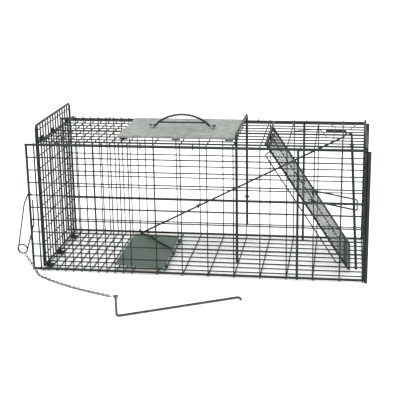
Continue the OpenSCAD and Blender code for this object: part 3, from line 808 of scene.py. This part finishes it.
PLATE_T = 0.9
top = pressed_plate(g0.x, g1.x, g0.y + 0.2, g1.y - 0.2, g1.z, PLATE_T, -0.35, 7)
parts = [top]
for side in (-1, 1):
    y = g1.y if side > 0 else g0.y + PLATE_T
    parts.append(strip(g0.x + 1.5, g1.x - 1.5, y - PLATE_T, y, g0.z, g1.z - 0.15, 0.3))
plate = join(parts, "guard_plate_sheet")
finished(plate, "cage", plate_zinc, ["guard_plate"], smooth=30)

# %% [markdown]
# Guard tabs
#
# Each tab is a narrow strip that hangs from the plate's fold and turns in under the
# mesh. Two softened strips make the bend well enough at this size.

# %% Tabs folded under the wires
TAB_W = 16
TAB_IN = 7
parts = []
tabs_lo, tabs_hi = lo("guard_tabs"), hi("guard_tabs")
mid = (g0.x + g1.x) / 2
for x in (g0.x + 4, mid - 8, g1.x - 20):
    for side in (-1, 1):
        y = side * (g1.y - 1.5)
        y_in = y - side * TAB_IN
        parts.append(strip(x, x + TAB_W, y - 0.5, y + 0.5, tabs_lo.z, tabs_hi.z, 0.3))
        parts.append(strip(x, x + TAB_W, min(y, y_in), max(y, y_in), tabs_lo.z,
                           tabs_lo.z + 0.9, 0.3))
tabs = join(parts, "guard_plate_tabs")
finished(tabs, "cage", tab_enamel, ["guard_tabs"], smooth=30)

# %% [markdown]
# Handle and lugs
#
# The handle is one wire: a bow with a straight bar across it, and feet that turn in
# through two lugs raised from the plate. The lugs are short straps pushed up round
# the wire.

# %% Lugs
HALF = 62.0
WIRE = 4.4
LUG_T = 1.2
LUG_PLAY = 0.35
parts = []
for side in (-1, 1):
    x = side * (HALF - 1.5)
    r = WIRE / 2 + LUG_PLAY + LUG_T / 2
    arch = loop((x, 0, 0), r, (1, 0, 0), turns=0.5)
    base = -(HANDLE.z - g1.z) + 0.62
    left = [(x, -r - 7, base), (x, -r - 0.6, base), (x, -r, base + 1.6)]
    right = [(x, r, base + 1.6), (x, r + 0.6, base), (x, r + 7, base)]
    if arch[0].y > 0:
        arch.reverse()
    arch = [Vector((p.x, p.y, abs(p.z))) for p in arch]
    strap = tube(left + arch + right, LUG_T, sides=8)
    pick(strap)
    bpy.ops.object.mode_set(mode="EDIT")
    bpy.ops.mesh.select_all(action="SELECT")
    bpy.ops.transform.resize(value=(5, 1, 1), center_override=(x * MM, 0, 0))
    bpy.ops.object.mode_set(mode="OBJECT")
    parts.append(strap)
handle_lugs = join(parts, "handle_straps")
handle_lugs.matrix_world = Matrix.Translation(HANDLE * MM)
finished(handle_lugs, "cage", lug_zinc, ["handle_lugs"], smooth=50)

# %% [markdown]
# Bow and bar
#
# The bow is an arc of a circle. Its radius comes from its chord and its sag, as on a
# drawing, and 25 points along it are smooth enough for its size.

# %% Bow and bar
BOW_STEPS = 24
chord = HALF - 13
rise = 22.0
sag = rise - 6
bow_r = (chord * chord + sag * sag) / (2 * sag)
bow_a = math.asin(chord / bow_r)
bow = [Vector((bow_r * math.sin(a), 0, rise - bow_r + bow_r * math.cos(a)))
       for a in [-bow_a + 2 * bow_a * i / BOW_STEPS for i in range(BOW_STEPS + 1)]]
left = rounded([(-HALF - 5, 0, 0), (-HALF + 8, 0, 0), (-chord - 0.4, 0, 5.5)], 3)
right = [Vector((-p.x, 0, p.z)) for p in reversed(left)]
grip = tube(left + bow + right, WIRE, sides=16)
bar = tube([(-chord + 2, 0, 6), (chord - 2, 0, 6)], WIRE * 0.75)
handle = join([grip, bar], "carry_handle_bow")
handle.matrix_world = Matrix.Translation(HANDLE * MM)
finished(handle, "carry_handle", handle_wire, ["carry_handle"], smooth=50)

# %% [markdown]
# Treadle
#
# A sheet plate with three shallow pressed ribs, and one far corner bent up along a
# crease. A grid gives points enough to press these shapes, and then it gets its
# thickness.

# %% Treadle plate with its ribs and crease
TREADLE_TILT = math.radians(2.5)
on_treadle = Matrix.Translation(TREADLE * MM) @ Matrix.Rotation(TREADLE_TILT, 4, "Y")
T_LONG, T_WIDE, T_MID, T_UP, T_THICK = 103.0, 198.0, -15.5, 2.4, 1.2
RIB_W, RIB_UP, CREASE_UP = 5, 0.5, 1.6
clear()
bpy.ops.mesh.primitive_grid_add(x_subdivisions=25, y_subdivisions=48, size=1)
plate = bpy.context.object
bpy.ops.object.mode_set(mode="EDIT")
bpy.ops.mesh.select_all(action="SELECT")
bpy.ops.transform.resize(value=((T_LONG - 3) * MM, T_WIDE * MM, 1),
                         center_override=(0, 0, 0))
bpy.ops.transform.translate(value=((-T_LONG / 2 - 1.5) * MM, T_MID * MM,
                                   (T_UP + T_THICK) * MM))
bpy.ops.object.mode_set(mode="OBJECT")
for vert in plate.data.vertices:
    x, y = vert.co.x / MM, vert.co.y / MM
    crease = (y - 16) * 0.55 + (x + 30) * 0.8
    if crease > 0 and x > -70:
        vert.co.z += min(crease * 0.045, CREASE_UP) * MM
    for rib in (-60, 0, 60):
        gap = abs(y - rib - T_MID)
        if gap < RIB_W and -90 < x < -16:
            vert.co.z += RIB_UP * math.cos(gap / RIB_W * math.pi / 2) * MM
modify(plate, "SOLIDIFY", thickness=T_THICK * MM, offset=-1)
modify(plate, "SUBSURF", levels=1, render_levels=1, subdivision_type="CATMULL_CLARK")
outwards(plate)
plate.name = "treadle_sheet"
plate.matrix_world = on_treadle @ plate.matrix_world
finished(plate, "treadle", treadle_green, ["treadle_plate"], smooth=40)

# %% [markdown]
# Treadle's knuckles
#
# Three knuckles wrap the pivot rod. Each is an open cylinder given a wall, with a
# softened strip that joins it to the plate.

# %% Treadle's knuckles
KNUCKLE_W = 14
parts = []
for lane in (-3.5, -0.5, 2.5):
    y = lane * ROW
    clear()
    bpy.ops.mesh.primitive_cylinder_add(
        vertices=28, radius=3.3 * MM, depth=KNUCKLE_W * MM, end_fill_type="NOTHING",
        location=(0, y * MM, 0), rotation=(math.pi / 2, 0, 0))
    shell = bpy.context.object
    settle(shell)
    modify(shell, "SOLIDIFY", thickness=1.0 * MM, offset=-1)
    parts.append(shell)
    parts.append(strip(-16, -2.6, y - KNUCKLE_W / 2, y + KNUCKLE_W / 2, 1.25, 2.3, 0.3))
knuckles = join(parts, "treadle_knuckles")
knuckles.matrix_world = on_treadle @ knuckles.matrix_world
finished(knuckles, "treadle", treadle_green, ["treadle_loops"], smooth=40)

# %% [markdown]
# Treadle's arm
#
# A bent wire lies over the plate and reaches to the trigger rod's foot.

# %% Treadle's arm
z = T_UP + T_THICK + 1.65
arm = wire([(-88, 80.5, z), (-66, 70.5, z), (-42, 36, z), (-8, 0, z)], 3, 7,
           "treadle_arm_wire")
arm.matrix_world = on_treadle @ arm.matrix_world
finished(arm, "treadle", rod_enamel, ["treadle_arm"], smooth=50)

# %% [markdown]
# Trigger rod
#
# A long straight rod from the treadle to the catch. It is cranked at its foot and
# hooked over at its top, and a wire eye on the far panel guides it.

# %% Trigger rod and guide eye
TRIGGER_Y = 86.5
foot = Vector((TREADLE.x - 87, TRIGGER_Y, FLOOR_TOP + 11))
head = Vector((FRONT_X - 44, TRIGGER_Y, TOP_Z - 22))
bends = [foot + Vector((-7, 0, 6)), foot, head, head + Vector((9, 0, 12)),
         head + Vector((-36, 0, 12.5))]
trigger = wire(bends, 3.8, 3.2, "trigger_rod_wire", 14)
finished(trigger, "trigger_rod", rod_enamel, ["trigger_rod"], smooth=50)

eye_lo, eye_hi = lo("trigger_guide"), hi("trigger_guide")
eye_x = (eye_lo.x + eye_hi.x) / 2
slope = (head - foot).normalized()
eye_at = foot + slope * ((eye_x - foot.x) / slope.x)
coil = loop(eye_at - slope * 1.1, 3.7, slope, turns=1.15, pitch=2.0)
stem = tube([(eye_x, TRIGGER_Y + 4.6, eye_at.z), (eye_x, eye_hi.y, eye_at.z)], 2.2, sides=10)
eye = join([tube(coil, 2.1, sides=10), stem], "trigger_guide_eye")
finished(eye, "cage", wire_enamel, ["trigger_guide"], smooth=60)

# %% [markdown]
# Lock rod
#
# The lock rod hangs by a coiled eye and hooks over at the top. Gravity keeps it down.

# %% Lock rod
ROD_Y = -95
ROD_LEAN = math.radians(3.3)
ROD_D = 5.2
rod_eye = Vector((ROD.x, ROD_Y, ROD.z))
on_rod = Matrix.Translation(rod_eye * MM) @ Matrix.Rotation(-ROD_LEAN, 4, "Y")
r = 1.5 + 0.35 + 1.1
down = (ROD.z - (FLOOR_TOP + 11)) / math.cos(ROD_LEAN)
coil = loop((0, -1.1, 0), r, (0, 1, 0), turns=1.5, start=math.pi / 2, pitch=1.5)
parts = [tube(coil, 2.1, sides=10),
         tube([(0, 0, -r - 0.6), (0, 0, -down)], ROD_D, sides=16),
         wire([(0, 0, r + 0.5), (0, 0, 21), (-5, 3, 23)], 4.1, 2.5, sides=14)]
lock_rod = join(parts, "lock_rod_wire")
lock_rod.matrix_world = on_rod @ lock_rod.matrix_world
finished(lock_rod, "lock_rod", rod_enamel, ["lock_rod"], smooth=50)

# %% [markdown]
# Safety clip
#
# A length of spring wire wound once and a half at the bottom, with both ends brought
# up to hook the end wire.

# %% Clip
CLIP_D = 3.0
CLIP_BACK = 22
CLIP_Z = 44
COIL_R = 9.6
COIL_TURNS = 1.5
COIL_STEPS = 43
COIL_SPREAD = 3.03
clip_y = -SIDE_Y + RAIL_R + CLIP_D / 2 + 0.4
coil_at = Vector((REAR_X - CLIP_BACK, clip_y, CLIP_Z))
up = 160 - CLIP_Z
coil = []
for i in range(COIL_STEPS + 1):
    k = i / COIL_STEPS
    a = math.pi + 2 * math.pi * COIL_TURNS * k
    lateral = -COIL_SPREAD * math.sin(math.pi * k)
    coil.append(Vector((COIL_R * math.cos(a), lateral, COIL_R * math.sin(a))))
left = rounded([(CLIP_BACK + 5, 0, up - 4), (CLIP_BACK - 3, 0, up),
                (CLIP_BACK - 13, 0, up - 22), (-COIL_R, 0, 0)], 5)
right = rounded([(COIL_R, 0, 0), (CLIP_BACK + 4, 0, up * 0.45),
                 (CLIP_BACK + 4.5, 0, up - 14)], 12)
clip = tube(left[:-1] + coil + right[1:], CLIP_D, "safety_clip_wire", 14)
clip.matrix_world = Matrix.Translation(coil_at * MM)
finished(clip, "safety_clip", spring_wire, ["safety_clip"], smooth=60)

# %% [markdown]
# Lock pin
#
# The pin is an L of drawn wire. One end is wound into an eye with the tail twisted
# round the shank, and the tip is hooked.

# %% Pin with eye and twisted tail
PIN_D = 4.2
PIN_SHORT = 88
PIN_LONG = 235
PIN_BEND = math.radians(14)
PIN_TURN = math.radians(-75.6)
TAIL_TURNS = 3
TAIL_STEPS = 39
PIN_AT = Vector((REAR_X + 198, -SIDE_Y - 128.5, PIN_D / 2 * 1.1))
on_pin = Matrix.Translation(PIN_AT * MM) @ Matrix.Rotation(PIN_TURN, 4, "Z")
ring = loop((-5.43, 0, 0), 4.2, (0, 0, 1), turns=0.94, start=0.2)
tail = []
for i in range(TAIL_STEPS + 1):
    k = i / TAIL_STEPS
    a = 2 * math.pi * TAIL_TURNS * k
    tail.append(Vector((1.5 + 9 * k, PIN_D / 2 * math.cos(a) * 0.85,
                        PIN_D / 2 * math.sin(a) * 0.35 + 0.2)))
tip = (PIN_SHORT - PIN_LONG * math.sin(PIN_BEND), PIN_LONG * math.cos(PIN_BEND), 0)
shank = wire([(-1.2, 0, 0), (PIN_SHORT, 0, 0), tip, (tip[0] + 13, tip[1], 0)],
             PIN_D, 5, sides=16)
pin = join([shank, tube(ring, 2.4), tube(tail, 1.3, sides=8)], "lock_pin_wire")
pin.matrix_world = on_pin @ pin.matrix_world
finished(pin, "lock_pin", pin_wire, ["lock_pin"], smooth=60)

# %% [markdown]
# Hog rings
#
# The panels are tied along their corners by hog rings: short wires squeezed into a C.
# One is drawn as an open arc and copied to each place.

# %% Open rings along both top corners
RING_D = 1.6
for side, node in ((-1, "near_rings"), (1, "far_rings")):
    low, high = lo(node), hi(node)
    xs = [WIDE_X0 + (i + 0.5) * WIDE_CELL for i in (0, 2, 4, 6)]
    xs.append(WIDE_X0 - 5.5 * WIDE_CELL / 3)
    y = side * (SIDE_Y - 1.3)
    z = (low.z + high.z) / 2
    parts = []
    for x in xs:
        arc = loop((x, y, z), 4.85, (1, 0, 0), turns=0.9, start=random.uniform(0, 6.28))
        parts.append(tube(arc, RING_D, sides=10))
    rings = join(parts, "near_hog_rings" if side < 0 else "far_hog_rings")
    finished(rings, "cage", wire_enamel, [node], smooth=60)

# %% [markdown]
# Hoop eyes and catch wires
#
# The stop hoop is held by small eyes, and thin bent wires lie over the top panel.

# %% Eyes and top wires
EYE_D = 2.2
HOOP_SIDE = 96.5
parts = []
hoop = (lo("stop_hoop") + hi("stop_hoop")) / 2
for y, z in ((-HOOP_SIDE, TOP_Z + 11.5), (HOOP_SIDE, TOP_Z * 0.39), (-HOOP_SIDE, TOP_Z - 6.8)):
    coil = loop((hoop.x, y, z - 1.0), 3.85, (0, 0, 1), turns=1.7, start=1.0, pitch=1.6)
    parts.append(tube(coil, EYE_D, sides=10))
eyes = join(parts, "hoop_wraps")
finished(eyes, "cage", rod_enamel, ["hoop_eyes"], smooth=60)

z = lo("catch_wires").z + 0.99
runs = [
    [(-145, -14), (-144, 8), (-104, 28), (-88, 21), (-76, -36)],
    [(-73, 85), (-61, 50), (-62, -60)],
    [(-31, 31), (-17, 89)],
]
parts = [wire([(FRONT_X + x, y, z) for x, y in run], 1.8, 5, sides=10) for run in runs]
catch = join(parts, "catch_wire_bends")
finished(catch, "cage", wire_enamel, ["catch_wires"], smooth=60)

# %% [markdown]
# Mesh, posts and rods keep their CAD shapes
#
# Their shapes are already right, so each only gets its finish.

# %% Paint the CAD nodes that stay
kept = {
    "near_side_panel": mesh_enamel, "far_side_panel": mesh_enamel, "top_panel": mesh_enamel,
    "floor_panel": mesh_enamel, "rear_door_mesh": mesh_enamel, "rear_door_rim": rod_enamel,
    "rear_door_guides": rod_enamel, "near_front_post": rod_enamel,
    "far_front_post": rod_enamel, "side_uprights": rod_enamel, "stop_hoop": rod_enamel,
    "door_hinge_rod": rod_enamel, "lock_rod_pivot": rod_enamel,
    "treadle_pivot_rod": rod_enamel, "rear_floor_clips": tab_enamel,
    "rear_top_clips": tab_enamel,
}
for node, finish in kept.items():
    ob = frame["nodes"][node]
    if not ob.material_slots:
        ob.data.materials.append(finish)
    for slot in ob.material_slots:
        slot.material = finish
print("painted CAD nodes:", len(kept))

# %% [markdown]
# Weld nuggets
#
# Where two mesh wires cross they are fused by a spot weld, which leaves a small flat
# bead. One bead of a few dozen faces is copied to every crossing.


# %% Beads at the crossings
BEAD_R = 1.35
FLAT = Matrix.Diagonal((1.0, 1.0, 0.8, 1.0))


def beads(places, name):
    """A bead at each place, joined into one piece of the cage."""
    clear()
    bpy.ops.mesh.primitive_uv_sphere_add(segments=8, ring_count=5, radius=BEAD_R * MM)
    spots = [Matrix.Translation(Vector(p) * MM) @ FLAT for p in places]
    ob = join(copies(bpy.context.object, spots), name)
    finished(ob, "cage", mesh_enamel, (), smooth=60)


mesh_x = [WIDE_X0 - k * WIDE_CELL / 3 for k in range(NARROW_CELLS, 0, -1)]
mesh_x += [WIDE_X0 + k * WIDE_CELL for k in range(WIDE_CELLS + 1)]
rows = [RAIL_Z + ROW * k for k in range(1, 10)]
lanes = [k * ROW for k in range(-4, 5)]
weld_y = SIDE_Y - 2.4
for side, name in ((-1, "near_panel_welds"), (1, "far_panel_welds")):
    beads([(x, side * weld_y, z) for x in mesh_x for z in rows], name)
top_weld_z, floor_weld_z = 261.05, 2.22
top_x = [x for x in mesh_x if x > lo("top_panel").x + 8]
beads([(x, y, top_weld_z) for x in top_x for y in lanes], "top_panel_welds")
floor_x = [x for x in mesh_x if x > lo("floor_panel").x + 8] + [FRONT_X]
beads([(x, y, floor_weld_z) for x in floor_x for y in lanes], "floor_panel_welds")

# %% [markdown]
# Studio
#
# A pale floor, a wide soft lamp overhead, a weaker one from the left, and a pale world.

# %% Floor, lamps and world
clear()
bpy.ops.mesh.primitive_plane_add(size=34, location=(0, 6.0, -0.0004))
floor = bpy.context.object
floor.name = "studio_floor"
paper, tree, shader, place = start("matt_white_paper")
shade = ramp(tree, noise(tree, place, 60, 3), [(0.3, "#f6f6f6"), (0.7, "#fafafa")])
tree.links.new(shade, shader.inputs["Base Color"])
shader.inputs["Roughness"].default_value = 0.9
shader.inputs["Emission Color"].default_value = linear("#ffffff")
shader.inputs["Emission Strength"].default_value = 0.25
floor.data.materials.append(paper)


def lamp(name, place, target, size, power):
    bpy.ops.object.light_add(type="AREA", location=place)
    ob = bpy.context.object
    ob.name = name
    ob.data.shape = "DISK"
    ob.data.size = size
    ob.data.energy = power
    aim = Vector(target) - Vector(place)
    ob.rotation_euler = aim.to_track_quat("-Z", "Y").to_euler()


lamp("overhead_softbox", (-0.3, -0.4, 2.4), (0, 0, 0.1), 2.2, 42)
lamp("left_softbox", (-2.2, -1.6, 1.3), (0, 0, 0.1), 1.4, 16)
world = bpy.data.worlds.new("pale_studio")
bpy.context.scene.world = world
world.use_nodes = True
world.node_tree.nodes["Background"].inputs["Color"].default_value = linear("#ffffff")
world.node_tree.nodes["Background"].inputs["Strength"].default_value = 1.03
bpy.context.scene.view_settings.view_transform = "Standard"
print("studio ready")

# %% Finish
clear()
